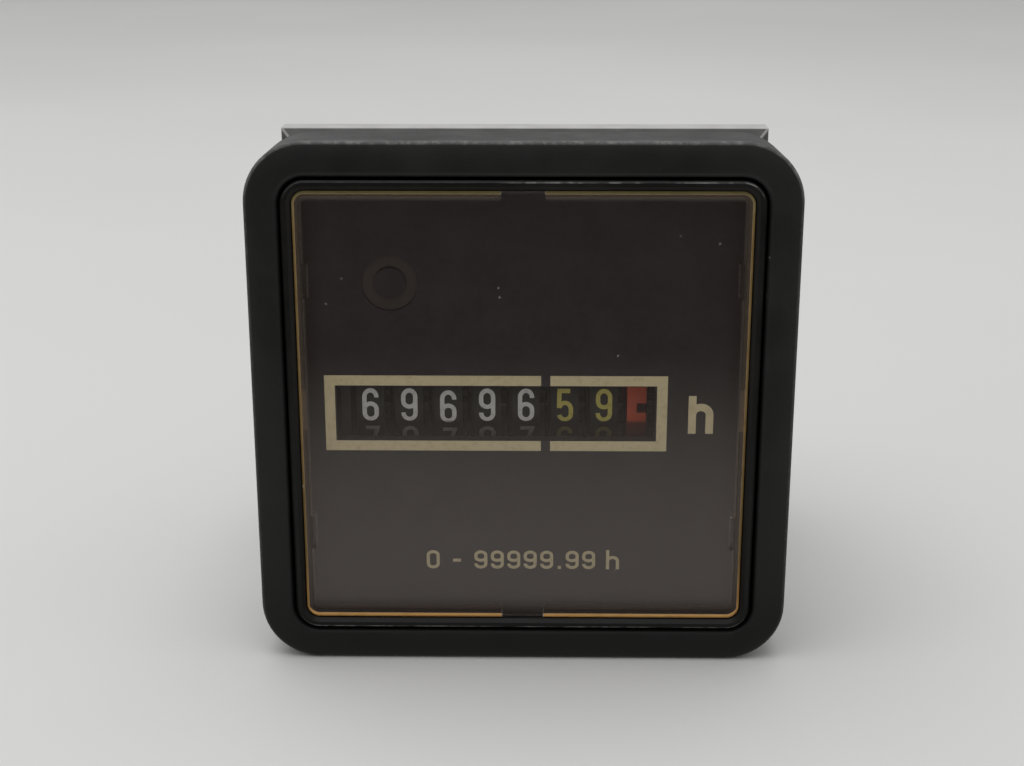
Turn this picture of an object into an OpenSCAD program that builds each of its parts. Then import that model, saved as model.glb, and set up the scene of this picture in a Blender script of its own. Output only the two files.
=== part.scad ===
// Panel-mounted hour meter with a geared digit counter and a synchronous motor.
// The origin is the middle of the panel seat: the front looks to -Y and +Z is up. Units are millimetres.

/* [Outer frame] */
// Width of the face between the outer edge and the opening
bezel_band = 3.45; // [2.6:0.05:5]
// Depth from the panel seat to the outer rim of the face
bezel_depth = 7.3; // [6.8:0.1:9]
// Rise of the face from its outer rim to its inner edge
bezel_crown = 0.7; // [0.3:0.1:1.2]
// Rounding along the outer rim
bezel_edge_r = 0.35; // [0.2:0.05:0.8]
// Draft of the sides: how far they draw in from the rim to the panel seat
bezel_draft = 0.15; // [0:0.05:0.4]
// Rounding round the opening
bezel_lip = 0.6; // [0.3:0.1:1]
// Thickness of the web that the housing front rests on
bezel_web = 1.6; // [1.2:0.1:2.4]

/* [Housing] */
// Room between the gear plate's screws and the body's wall
side_room = 0.4; // [0.3:0.05:4]
// Radius of the body's corners
body_corner_r = 1; // [0.8:0.1:3]
// Thickness of the body's walls
body_wall = 1.4; // [1:0.1:1.6]
// Overhang of the front flange on each side of the body
flange_overhang = 1.4; // [1.2:0.1:3]
// Width of the rim round the window
rim_w = 1; // [0.9:0.05:1.3]
// Width of the bevel inside that rim
rim_bevel = 0.4; // [0.2:0.05:0.6]
// Gap between the flange and the outer frame
front_gap = 0.3; // [0.2:0.05:0.8]
// Distance from the panel seat to the ledge that carries the dial
ledge_depth = 4.2; // [3.6:0.1:4.8]
// Radius of the posts that take the cover screws
post_r = 2.2; // [1.8:0.1:2.6]
// Pitch of the clamping ribs on the body's sides
rib_pitch = 1.5; // [1:0.1:2.5]
// Height of the clamping ribs
rib_h = 0.5; // [0.3:0.05:0.7]

/* [Window and dial] */
// Thickness of the window's pane
pane_t = 1.2; // [0.8:0.1:1.5]
// Thickness of the skirt round the pane
skirt_t = 0.65; // [0.6:0.05:1.2]
// Depth of the pane's face below the housing rim
pane_recess = 0.25; // [0.1:0.05:0.6]
// Width of the notch in the middle of each side of the skirt
notch_w = 4.4; // [3:0.1:8]
// Thickness of the dial plate
dial_t = 0.6; // [0.4:0.05:1]
// Height of the aperture in front of the digits
aperture_h = 5.9; // [5:0.1:7]
// Outer diameter of the ring groove on the dial
ring_d = 5.7; // [4:0.1:7]

/* [Counter] */
// Radius of the digit wheels
drum_r = 6.9; // [6.5:0.05:7.1]
// Distance from one digit wheel to the next
wheel_pitch = 4.1; // [3.6:0.05:5]
// Gap between the rims of two digit wheels
wheel_gap = 1.2; // [1:0.05:1.4]
// Height of the wheel shaft above the middle of the front
drum_z = -1; // [-1.5:0.1:1]
// Distance of the row of digit wheels to the left of the middle
row_shift = 3.8; // [3:0.1:4.2]
// Width of the run indicator's rim
indicator_w = 2; // [1.6:0.1:2.4]
// Diameter of the wheel shaft
drum_shaft_d = 1.5; // [1:0.1:2]
// Diameter of the pinion shaft
pinion_shaft_d = 1.2; // [0.8:0.1:1.4]
// Running clearance of each bore on its shaft
run_clear = 0.05; // [0.02:0.01:0.1]

/* [Gear train] */
// Tooth module of the motor's reduction gears
train_module = 0.3; // [0.27:0.005:0.33]
// Thickness of the large gears
gear_t = 0.6; // [0.5:0.05:0.7]
// Diameter of the gear arbors
arbor_d = 1; // [0.8:0.1:1]
// Thickness of the plate over the gears
bridge_t = 1.2; // [1:0.1:1.5]

/* [Motor] */
// Outer radius of the stator cup
cup_r = 11; // [10.8:0.1:11.5]
// Sheet thickness of the stator
stator_t = 0.8; // [0.6:0.1:1]
// Radius of the rotor magnet
rotor_r = 5.8; // [5.4:0.1:6]
// Length of the stator cup
cup_len = 9.4; // [8:0.1:10]
// Diameter of the rotor shaft
rotor_shaft_d = 1.2; // [1:0.1:1.4]

/* [Rear] */
// Thickness of the rear cover
cover_t = 2; // [1.6:0.1:3]
// Height of the terminal block on the cover
block_h = 3; // [2:0.1:5]
// Distance between the two blade terminals
blade_gap = 14; // [12:0.5:16]
// Width of a blade terminal
blade_w = 6.3; // [4.8:0.1:6.3]
// Thickness of a blade terminal
blade_t = 0.8; // [0.5:0.1:1]
// Length of a blade behind its block
blade_len = 7.5; // [6:0.5:10]

/* [Clamping frame] */
// Width of the clamping frame's border outside the body
clamp_border = 3.8; // [3:0.1:6]
// Distance from the panel seat to the clamping frame as it is set
clamp_y = 8.9; // [5:0.1:14]
// Length of the slope at its front
clamp_slope = 1.8; // [1:0.1:2.2]
// Length of its rim behind that slope
clamp_rim = 3; // [1.5:0.1:5]
// Length of its two spring arms
arm_len = 8; // [5:0.5:12]
// Width of its two spring arms
arm_w = 8; // [5:0.5:12]
// Clearance between the clamping frame and the body
clamp_clear = 0.3; // [0.2:0.05:0.6]

/* [Hidden] */
$fn = 48;

// Small overlap that lets a cut pass its face
eps = 0.1;
// Clearance between fixed pieces that slide together
fit = 0.1;
// Clearance between the end faces of turning pieces
end_play = 0.1;

// Digit wheels along their shaft, counted from the fastest at the right
wheel_count = 7;
wheel_rim_w = wheel_pitch - wheel_gap;
wheel_side = wheel_rim_w / 2;
hub_half = (wheel_pitch - end_play) / 2;
first_wheel_x = (wheel_count - 1) / 2 * wheel_pitch - row_shift;
last_wheel_x = wheel_x(wheel_count);
indicator_gap = 1;
indicator_x = first_wheel_x + wheel_side + indicator_gap;
indicator_gear_gap = 0.2;
indicator_gear_x = indicator_x + indicator_w + indicator_gear_gap;
indicator_gear_w = 0.8;

// Plates and gears to the right of the wheels, one after the other
cheek_t = 1;
cheek_gap = 0.45;
gear_clear = 0.4;
gear_gap = 0.8;
head_h = 0.9;
right_cheek_x = indicator_gear_x + indicator_gear_w + cheek_gap;
cheek_out = right_cheek_x + cheek_t;
gear_b_x = cheek_out + gear_clear;
gear_a_x = gear_b_x + gear_t + gear_gap;
bridge_x = gear_a_x + gear_t + gear_gap;

// Front pieces, as half widths from the middle
inner_half = bridge_x + bridge_t + head_h + side_room;
body_half = inner_half + body_wall;
corner_c = body_half - body_corner_r;
front_half = body_half + flange_overhang;
recess_half = front_half - rim_w;
opening_half = front_half + front_gap;
bezel_half = opening_half + bezel_band;
web_half = body_half + clamp_clear;
arc_steps = 8;
rim_y = -(bezel_depth + bezel_crown);
pane_y = rim_y + pane_recess;
dial_back = -ledge_depth;
dial_front = dial_back - dial_t;
lug_z = 13.5;
lug_w = 3.6;
lug_t = 1;
lug_h = 0.35;
lug_reach = 1.1;

// Counter: the wheels turn about the X axis through (drum_y, drum_z)
collar_t = 0.8;
collar_h = 0.9;
drum_gap = 1.6;
drum_y = dial_back + collar_h + drum_gap + drum_r;
ring_w = hub_half - wheel_side;
disc_w = wheel_gap / 3;
hub_wall = 1.2;
ring_teeth = 20;
pinion_teeth = 8;
rim_step = 0.9;
drive_low = 1.62;
drive_sink = 0.18;
disc_step = 1.575;
ring_module = 2 * (drum_r - rim_step) / ring_teeth;
ring_add = 0.75;
ring_ded = 1.15;
feed_ded = 1.05;
pinion_z = drum_z - ring_module * (ring_teeth + pinion_teeth) / 2;
pinion_tip_r = ring_module * (pinion_teeth / 2 + ring_add);
pinion_clear = 0.3;
pinion_hub_r = drum_z - pinion_z - drum_r - pinion_clear;
left_margin = 1.75;
right_margin = 0.75;
aperture_rise = 0.1;
aperture_z = drum_z + aperture_rise;
aperture_x0 = last_wheel_x - wheel_side - left_margin;
aperture_x1 = indicator_x + indicator_w + right_margin;
ring_x = -13.5;
ring_z = 12.9;
ring_in_d = 3.3;

// Chassis plates, with a floor under the pinions
left_cheek_x = last_wheel_x - hub_half - end_play - cheek_t;
floor_clear = 1.25;
cheek_low = pinion_z - pinion_tip_r - floor_clear - cheek_t;
wall_clear = 1.6;
cheek_high = inner_half - wall_clear;
rear_margin = 2.1;
left_cheek_y = drum_y + drum_r + rear_margin;
top_margin = 3.1;
left_cheek_high = drum_z + drum_r + top_margin;
frame_front_t = 1;
frame_arm = 31;

// Gear train: centre distances follow from the tooth counts
train_pa = 25;
ring40 = 40;
wheel60 = 60;
pinion10 = 10;
pinion8 = 8;
wheel_share = 0.42;
pinion_share = 0.38;
train_add = 0.7;
train_ded = 0.95;
angle_b = 60;
angle_a = 10.2;
angle_rotor = -44.1;
gear_boss_a = 1.1;
gear_boss_b = 0.3;
hole_at = 0.58;
hole_share = 0.22;
hole_count = 5;
b_axis = [drum_y, drum_z] + train_module * (ring40 + pinion10) / 2 * [cos(angle_b), sin(angle_b)];
a_axis = b_axis + train_module * (wheel60 + pinion8) / 2 * [cos(angle_a), sin(angle_a)];
rotor_axis = a_axis
  + train_module * (wheel60 + pinion10) / 2 * [cos(angle_rotor), sin(angle_rotor)];
pillar_r = 2;
pillar_clear = 0.6;
pillar_at = train_module * (wheel60 / 2 + train_add) + pillar_r + pillar_clear;
pillars = [
  rotor_axis + polar(pillar_at, -105),
  rotor_axis + polar(pillar_at, 54),
  b_axis + polar(pillar_at, 107),
  b_axis + polar(pillar_at, -127)
];
screw_r = 0.8;
screw_grip = 2.5;
head_r = 1.6;
slot_w = 0.4;

// Motor: cup from the chassis cheek towards the left
plate_x = right_cheek_x - stator_t;
cup_x = plate_x - cup_len;
claw_count = 12;
air_gap = 0.3;
claw_r = rotor_r + air_gap;
claw_t = 0.7;
claw_half = 4.5;
claw_end = 0.9;
bobbin_clear = 0.2;
bobbin_r = claw_r + claw_t + bobbin_clear;
bobbin_t = 0.6;
bobbin_out = cup_r - stator_t - air_gap;
bobbin_x0 = cup_x + stator_t + bobbin_clear;
bobbin_x1 = plate_x - bobbin_clear;
winding_low = 1.1;
rotor_clear = 0.6;
ear_r = 1.8;
ear_at = cup_r + head_r;
pin_block_w = 3.6;
pin_block_h = 7.6;
pin_x = cup_x + cup_len / 2;
pin_z = 2.5;
pin_r = 0.35;
pin_w = 1;
pin_stand = 0.4;
pin_window = 6;
tie_w = 4;
tie_t = winding_low - 2 * bobbin_clear;

// Rear
rear_clear = 1.2;
cover_inset = 0.4;
cover_y = rotor_axis[0] + cup_r + rear_clear;
post_sink = 0.4;
post_at = inner_half - post_r + post_sink;
post_len = 9;
post_end = 1;
shank_r = 0.9;
shank_len = 7;
thread_clear = 0.05;
cover_head_r = 1.9;
cover_head_h = 1.1;
block_w = 27;
block_d = 12;
foot_t = 0.6;
foot_w = 2;
tip_cut = 1;
latch_r = 0.8;
barrier_t = 1.4;
barrier_h = 5;

// Clamping frame
clamp_in = body_half + clamp_clear;
clamp_half = body_half + clamp_border;
clamp_rear = clamp_y + clamp_slope + clamp_rim;
clamp_angle = 46;
rib_gap = 0.15;
rib_first = 3;
rib_end = 6;
rib_last = cover_y - rib_end;
rib_root = 0.2;
rib_front = 0.3;
rib_share = 0.9;
arm_t = 1.3;
arm_step = 0.5;

// Place of the k-th digit wheel, counted from the fastest
function wheel_x(k) = first_wheel_x - wheel_pitch * (k - 1);

// Half the angle of a tooth at radius r, for an involute flank that is radial below its base circle
function involute(a) = tan(a) * 180 / PI - a;
function tooth_half(n, m, share, r) =
  let (pitch_r = n * m / 2, base_r = pitch_r * cos(train_pa))
  share * 180 / n + involute(train_pa) - involute(acos(min(1, base_r / r)));
function polar(r, a) = [r * cos(a), r * sin(a)];

// Outline of a gear: each tooth is a list of radii up one flank and down the other
function gear_outline(n, m, share, radii, phase) = [
  for (i = [0 : n - 1])
    let (mid = phase + i * 360 / n, last = len(radii) - 1)
      each concat(
        [for (j = [0 : last]) polar(radii[j], mid - tooth_half(n, m, share, radii[j]))],
        [for (j = [last : -1 : 0]) polar(radii[j], mid + tooth_half(n, m, share, radii[j]))]
      )
];

// Square outline with round corners
module rounded_square(half, r) {
  square([2 * (half - r), 2 * half], center = true);
  square([2 * half, 2 * (half - r)], center = true);
  for (x = [-1, 1], y = [-1, 1])
    translate([x * (half - r), y * (half - r)])
      circle(r);
}

// Front outline extruded from y0 back to y1
module slab(y0, y1) {
  translate([0, y1, 0])
    rotate([90, 0, 0])
      linear_extrude(y1 - y0)
        children();
}

// Side outline in (y, z) extruded from x0 to x1
module along_x(x0, x1) {
  translate([x0, 0, 0])
    rotate([90, 0, 90])
      linear_extrude(x1 - x0)
        children();
}

// Profile in (radius, x) turned about an axis along X at (y, z)
module turned(axis) {
  translate([0, axis[0], axis[1]])
    rotate([90, 0, 90])
      rotate_extrude()
        children();
}

// Round bar along X
module bar(axis, r, x0, x1) {
  translate([x0, axis[0], axis[1]])
    rotate([0, 90, 0])
      cylinder(r = r, h = x1 - x0);
}

// Round bar along Y
module peg(x, z, r, y0, y1) {
  translate([x, y1, z])
    rotate([90, 0, 0])
      cylinder(r = r, h = y1 - y0);
}

// Profile in (distance outward from the corner centres, height towards the front) carried round the square
module swept_square(centre, profile) {
  rotate([90, 0, 0])
    for (i = [0 : 3])
      rotate([0, 0, 90 * i]) {
        translate([centre, centre, 0])
          rotate([90, 0, 0])
            linear_extrude(2 * centre)
              polygon(profile);
        translate([centre, centre, 0])
          rotate_extrude(angle = 90)
            polygon(profile);
      }
}

// Toothed disc across an axis along X
module toothed(axis, x0, x1, outline) {
  translate([0, axis[0], axis[1]])
    along_x(x0, x1)
      polygon(outline);
}

// Profile of the outer frame: a rounded rim, a crowned face and a rounded opening, each a true arc's chords
function bezel_profile(outer, inner, web) =
  let (
    top = bezel_depth + bezel_crown,
    run = bezel_band - bezel_lip,
    crown_r = (run * run + bezel_crown * bezel_crown) / (2 * bezel_crown),
    crown_c = [inner + bezel_lip, top - crown_r],
    reach = crown_r - bezel_edge_r,
    side = run - bezel_edge_r,
    edge_c = crown_c + [side, sqrt(reach * reach - side * side)],
    lip_c = [inner + bezel_lip, top - bezel_lip],
    turn = acos(side / reach)
  )
  concat(
    [[outer - bezel_draft, 0]],
    [for (i = [0 : arc_steps]) edge_c + polar(bezel_edge_r, turn * i / arc_steps)],
    [for (i = [1 : arc_steps]) crown_c + polar(crown_r, turn + (90 - turn) * i / arc_steps)],
    [for (i = [1 : arc_steps]) lip_c + polar(bezel_lip, 90 + 90 * i / arc_steps)],
    [[inner, bezel_web], [web, bezel_web], [web, 0]]
  );

module front_bezel() {
  color("#262524")
    swept_square(corner_c,
      bezel_profile(bezel_half - corner_c, opening_half - corner_c, web_half - corner_c));
}

// Window recess rim with its inner bevel
module housing_rim() {
  outer = front_half - corner_c;
  inner = recess_half - corner_c;
  top = -rim_y;
  edge = 0.2;
  swept_square(corner_c, [
    [outer, ledge_depth], [outer, top - edge], [outer - edge, top],
    [inner + rim_bevel, top], [inner, top - rim_bevel], [inner, ledge_depth]
  ]);
}

// Saw teeth on one side of the body, on which the clamping frame is held
module clamp_ribs() {
  for (y = [rib_first : rib_pitch : rib_last])
    translate([0, 0, -arm_w / 2])
      linear_extrude(arm_w)
        polygon([[body_half - rib_root, y], [body_half + rib_h, y + rib_front],
          [body_half - rib_root, y + rib_pitch * rib_share]]);
}

module housing() {
  color("#1d1c1b")
    difference() {
      union() {
        housing_rim();
        slab(-ledge_depth, -bezel_web)
          rounded_square(front_half, front_half - corner_c);
        slab(-bezel_web, cover_y)
          rounded_square(body_half, body_corner_r);
        clamp_ribs();
        mirror([1, 0, 0])
          clamp_ribs();
      }
      difference() {
        slab(-ledge_depth - eps, cover_y + eps)
          square(2 * inner_half, center = true);
        for (x = [-1, 1], z = [-1, 1])
          peg(x * post_at, z * post_at, post_r, cover_y - post_len, cover_y);
      }
      for (x = [-1, 1], z = [-1, 1]) {
        peg(x * post_at, z * post_at, shank_r + thread_clear, cover_y - post_len + post_end, cover_y + eps);
        translate([x * recess_half, dial_front - lug_t / 2, z * lug_z])
          cube([2 * (lug_h + fit), lug_t + 2 * fit, lug_w + 2 * fit], center = true);
      }
    }
}

module window() {
  outer = recess_half - fit - corner_c;
  edge = 0.25;
  pane_back = pane_y + pane_t;
  color("#c9a45a", 0.35)
    difference() {
      union() {
        swept_square(corner_c, [
          [outer - skirt_t, -dial_front], [outer, -dial_front], [outer, -pane_y - edge],
          [outer - edge, -pane_y], [outer - skirt_t, -pane_y]
        ]);
        slab(pane_y, pane_back)
          rounded_square(recess_half - fit - skirt_t / 2, outer - skirt_t / 2);
        for (x = [-1, 1], z = [-1, 1])
          translate([x * (recess_half - fit), dial_front - lug_t / 2, z * lug_z])
            cube([2 * lug_h, lug_t, lug_w], center = true);
        for (x = [-1, 1], z = [-1, 1])
          translate([x * (recess_half - fit - (lug_reach + skirt_t / 2) / 2),
            (pane_back - eps + dial_front - fit) / 2, z * lug_z])
            cube([lug_reach - skirt_t / 2, dial_front - fit - pane_back + eps, lug_w], center = true);
      }
      for (a = [0 : 90 : 270])
        rotate([0, a, 0])
          translate([0, (pane_back + dial_front) / 2 + eps, recess_half])
            cube([notch_w, dial_front - pane_back + eps, 4 * skirt_t], center = true);
    }
}

// Outline of the aperture, widened by a margin
module aperture(margin) {
  translate([aperture_x0 - margin, aperture_z - aperture_h / 2 - margin])
    square([aperture_x1 - aperture_x0 + 2 * margin, aperture_h + 2 * margin]);
}

module dial_plate() {
  half = recess_half - 2 * fit;
  groove = 0.2;
  color("#332d29")
    difference() {
      union() {
        slab(dial_front, dial_back)
          rounded_square(half, half - corner_c);
        slab(dial_back, dial_back + collar_h)
          aperture(collar_t);
      }
      slab(dial_front - eps, dial_back + collar_h + eps)
        aperture(0);
      translate([ring_x, 0, ring_z])
        slab(dial_front - eps, dial_front + groove)
          difference() {
            circle(d = ring_d);
            circle(d = ring_in_d);
          }
    }
}

// Side outline of a chassis cheek: a plate from the dial to y1, set back in front of the wheels
module cheek_outline(y1, high) {
  difference() {
    translate([dial_back, cheek_low])
      square([y1 - dial_back, high - cheek_low]);
    translate([dial_back - eps, aperture_z - aperture_h / 2 - collar_t - fit])
      square([collar_h + drum_gap + eps, aperture_h + 2 * (collar_t + fit)]);
  }
}

module counter_frame() {
  color("#2b2a29")
    difference() {
      union() {
        slab(dial_back, dial_back + frame_front_t)
          difference() {
            union() {
              square([2 * (inner_half - 2 * fit), frame_arm], center = true);
              square([frame_arm, 2 * (inner_half - 2 * fit)], center = true);
            }
            aperture(collar_t + fit);
          }
        along_x(left_cheek_x, left_cheek_x + cheek_t)
          cheek_outline(left_cheek_y, left_cheek_high);
        along_x(right_cheek_x, cheek_out)
          cheek_outline(cover_y, cheek_high);
        translate([left_cheek_x, dial_back, cheek_low])
          cube([cheek_out - left_cheek_x, left_cheek_y - dial_back, cheek_t]);
        for (p = pillars)
          bar(p, pillar_r, right_cheek_x, bridge_x);
      }
      bar([drum_y, drum_z], drum_shaft_d / 2, left_cheek_x - eps, cheek_out + eps);
      bar([drum_y, pinion_z], pinion_shaft_d / 2, left_cheek_x - eps, cheek_out + eps);
      bar(b_axis, train_module * (pinion10 / 2 + train_add) + gear_clear, right_cheek_x - eps, cheek_out + eps);
      bar(a_axis, arbor_d / 2, right_cheek_x - eps, cheek_out + eps);
      bar(rotor_axis, rotor_shaft_d / 2 + run_clear, right_cheek_x - eps, cheek_out + eps);
      for (p = pillars)
        bar(p, screw_r, right_cheek_x - eps, bridge_x + eps);
      for (z = [-1, 1])
        bar(rotor_axis + [0, z * ear_at], screw_r, right_cheek_x - eps, cheek_out + eps);
    }
}

module drum_shaft() {
  color("#b9bcc0")
    bar([drum_y, drum_z], drum_shaft_d / 2, left_cheek_x, cheek_out);
}

module pinion_shaft() {
  color("#b9bcc0")
    bar([drum_y, pinion_z], pinion_shaft_d / 2, left_cheek_x, cheek_out);
}

// Two-tooth segment that would turn the next wheel's pinion once in a turn
module drive_teeth(x0, x1) {
  width = 0.7;
  for (a = [-1, 1])
    translate([0, drum_y, drum_z])
      along_x(x0, x1)
        rotate(a * 180 / ring_teeth)
          translate([drum_r - drive_low, -width / 2])
            square([drive_low - drive_sink, width]);
}

// Digit wheel: rim, web and hub, toothed ring to the right and drive disc to the left
module number_wheel(k) {
  x = wheel_x(k);
  bore = drum_shaft_d / 2 + run_clear;
  web_t = 0.9;
  web_x = wheel_side - web_t;
  disc_t = 0.8;
  disc_r = drum_r - disc_step;
  ring_root = ring_module * (ring_teeth / 2 - ring_ded);
  ring_tip = ring_module * (ring_teeth / 2 + ring_add);
  ring_start = x + wheel_side;
  color("#141414")
    union() {
      translate([x, 0, 0])
        turned([drum_y, drum_z]) {
          translate([drum_r - rim_step, -wheel_side])
            square([rim_step, wheel_rim_w]);
          translate([bore, web_x])
            square([drum_r - bore - rim_step / 2, web_t]);
          translate([bore, -hub_half])
            square([hub_wall, 2 * hub_half]);
          translate([disc_r - disc_t, -wheel_side - disc_w])
            square([disc_t, web_x + wheel_side + disc_w + eps]);
        }
      difference() {
        toothed([drum_y, drum_z], ring_start - eps, ring_start + ring_w,
          gear_outline(ring_teeth, ring_module, wheel_share, [ring_root, ring_tip], -90));
        bar([drum_y, drum_z], ring_root - rim_step, ring_start - 2 * eps, ring_start + ring_w + eps);
      }
      drive_teeth(x - wheel_side - disc_w, x - wheel_side);
    }
}

// Notches round the right edge of the run indicator's rim
module indicator_notches() {
  count = 10;
  depth = 1;
  width = 1.05;
  phase = 2;
  x1 = indicator_x + indicator_w;
  for (i = [0 : count - 1])
    translate([0, drum_y, drum_z])
      along_x(x1 - depth, x1 + eps)
        rotate(phase + i * 360 / count)
          translate([drum_r - rim_step - eps, -width / 2])
            square([rim_step + 2 * eps, width]);
}

module run_indicator_wheel() {
  bore = drum_shaft_d / 2 + run_clear;
  axis = [drum_y, drum_z];
  web_t = 0.8;
  carry_t = 1;
  carry_step = 0.3;
  gear_rim = 2.2;
  gear_root = train_module * (ring40 / 2 - train_ded);
  carry_in = gear_root - gear_rim;
  hub_x = first_wheel_x + hub_half + end_play;
  gear_x1 = indicator_gear_x + indicator_gear_w;
  color("#c0452c")
    union() {
      difference() {
        turned(axis)
          translate([drum_r - rim_step, indicator_x])
            square([rim_step, indicator_w]);
        indicator_notches();
      }
      turned(axis) {
        translate([bore, indicator_x])
          square([drum_r - bore - rim_step / 2, web_t]);
        translate([bore, hub_x])
          square([hub_wall, right_cheek_x - end_play - hub_x]);
        translate([carry_in, indicator_x])
          square([carry_t, indicator_gear_x - indicator_x + eps]);
      }
      difference() {
        toothed(axis, indicator_gear_x, gear_x1, gear_outline(ring40, train_module, wheel_share,
          [gear_root, train_module * (ring40 / 2 + train_add)], angle_b));
        bar(axis, carry_in + carry_step, indicator_gear_x - eps, gear_x1 + eps);
      }
    }
}

// Transfer pinion under the ring of wheel k, kept along the shaft by its long hub
module transfer_pinion(k) {
  x = wheel_x(k);
  axis = [drum_y, pinion_z];
  root = ring_module * (pinion_teeth / 2 - feed_ded);
  color("#d8d2c4")
    difference() {
      union() {
        bar(axis, pinion_hub_r, x - hub_half, x + hub_half);
        toothed(axis, x + wheel_side + end_play, x + hub_half, gear_outline(pinion_teeth, ring_module,
          pinion_share, [root, ring_module * pinion_teeth / 2, pinion_tip_r], 90 + 180 / pinion_teeth));
      }
      bar(axis, pinion_shaft_d / 2 + run_clear, x - hub_half - eps, x + hub_half + eps);
    }
}

// Large gear with five lightening holes
module spoked_gear(axis, x, phase) {
  r = train_module * wheel60 / 2;
  difference() {
    toothed(axis, x, x + gear_t, gear_outline(wheel60, train_module, wheel_share,
      [r - train_ded * train_module, r + train_add * train_module], phase));
    for (i = [1 : hole_count])
      bar(axis + polar(hole_at * r, i * 360 / hole_count), hole_share * r, x - eps, x + gear_t + eps);
  }
}

// Small train pinion with finer flanks
module train_pinion(axis, teeth, x0, x1, phase) {
  r = train_module * teeth / 2;
  toothed(axis, x0, x1, gear_outline(teeth, train_module, pinion_share,
    [r - train_ded * train_module, r, r + train_add * train_module], phase));
}

module gear_b() {
  x0 = indicator_gear_x - end_play / 2;
  x1 = indicator_gear_x + indicator_gear_w + end_play / 2;
  color("#e6dcc0")
    difference() {
      union() {
        train_pinion(b_axis, pinion10, x0, x1, angle_b + 180 + 180 / pinion10);
        bar(b_axis, train_module * (pinion10 / 2 - train_ded), x0, gear_b_x + eps);
        spoked_gear(b_axis, gear_b_x, angle_a);
        bar(b_axis, arbor_d / 2 + gear_boss_b, gear_b_x, bridge_x - end_play);
      }
      bar(b_axis, arbor_d / 2 + run_clear, x0 - eps, bridge_x + eps);
    }
}

module gear_a() {
  x0 = cheek_out + end_play;
  x1 = gear_b_x + gear_t + end_play;
  color("#e6dcc0")
    difference() {
      union() {
        train_pinion(a_axis, pinion8, x0, x1, angle_a + 180 + 180 / pinion8);
        bar(a_axis, train_module * (pinion8 / 2 - train_ded), x0, gear_a_x + eps);
        spoked_gear(a_axis, gear_a_x, angle_rotor);
        bar(a_axis, arbor_d / 2 + gear_boss_a, gear_a_x, bridge_x - end_play);
      }
      bar(a_axis, arbor_d / 2 + run_clear, x0 - eps, bridge_x + eps);
    }
}

module arbor_b() {
  color("#b9bcc0")
    bar(b_axis, arbor_d / 2, indicator_gear_x - end_play, bridge_x + bridge_t);
}

module arbor_a() {
  color("#b9bcc0")
    bar(a_axis, arbor_d / 2, right_cheek_x, bridge_x + bridge_t);
}

module gear_bridge() {
  color("#c8a54a")
    difference() {
      along_x(bridge_x, bridge_x + bridge_t)
        hull()
          for (p = pillars)
            translate(p)
              circle(pillar_r, $fn = 32);
      bar(b_axis, arbor_d / 2, bridge_x - eps, bridge_x + bridge_t + eps);
      bar(a_axis, arbor_d / 2, bridge_x - eps, bridge_x + bridge_t + eps);
      bar(rotor_axis, rotor_shaft_d / 2 + run_clear, bridge_x - eps, bridge_x + bridge_t + eps);
      for (p = pillars)
        bar(p, screw_r + fit, bridge_x - eps, bridge_x + bridge_t + eps);
    }
}

// Slotted cheese-head screw along X, with its head on the face at x
module side_screw(p, x, length, way) {
  head = [min(x, x + way * head_h), max(x, x + way * head_h)];
  shank = [min(x, x - way * length), max(x, x - way * length)];
  slot_x = x + way * (head_h - slot_w / 2);
  difference() {
    union() {
      bar(p, head_r, head[0], head[1]);
      bar(p, screw_r - thread_clear / 2, shank[0], shank[1]);
    }
    translate([slot_x, p[0], p[1]])
      cube([slot_w + eps, slot_w, 2 * head_r + eps], center = true);
  }
}

module bridge_screws() {
  color("#c9ccd0")
    for (p = pillars)
      side_screw(p, bridge_x + bridge_t, bridge_t + screw_grip, 1);
}

// One claw of the stator, as a sector in (y, z)
module claw_sector(a) {
  rotate(a)
    polygon([polar(claw_r, -claw_half), polar(claw_r + claw_t, -claw_half),
      polar(claw_r + claw_t, claw_half), polar(claw_r, claw_half)]);
}

module stator_cup() {
  color("#8f9499")
    difference() {
      union() {
        turned(rotor_axis) {
          translate([rotor_shaft_d / 2 + run_clear, cup_x])
            square([cup_r - rotor_shaft_d / 2 - run_clear, stator_t]);
          translate([cup_r - stator_t, cup_x])
            square([stator_t, cup_len]);
        }
        for (i = [0 : claw_count - 1])
          translate([0, rotor_axis[0], rotor_axis[1]])
            along_x(cup_x + stator_t / 2, plate_x - claw_end)
              claw_sector(i * 360 / claw_count);
      }
      translate([pin_x, rotor_axis[0] + cup_r, rotor_axis[1]])
        cube([pin_block_w + 4 * fit, pin_window, pin_block_h + 4 * fit], center = true);
    }
}

module stator_end_plate() {
  color("#8f9499")
    difference() {
      union() {
        bar(rotor_axis, cup_r, plate_x, right_cheek_x);
        for (z = [-1, 1]) {
          bar(rotor_axis + [0, z * ear_at], ear_r, plate_x, right_cheek_x);
          translate([plate_x, rotor_axis[0] - ear_r, min(rotor_axis[1], rotor_axis[1] + z * ear_at)])
            cube([stator_t, 2 * ear_r, ear_at]);
        }
        for (i = [0 : claw_count - 1])
          translate([0, rotor_axis[0], rotor_axis[1]])
            along_x(cup_x + stator_t + claw_end, plate_x + stator_t / 2)
              claw_sector((i + 0.5) * 360 / claw_count);
      }
      bar(rotor_axis, rotor_shaft_d / 2 + gear_clear, plate_x - eps, right_cheek_x + eps);
      for (z = [-1, 1])
        bar(rotor_axis + [0, z * ear_at], screw_r + fit, plate_x - eps, right_cheek_x + eps);
    }
}

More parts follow.
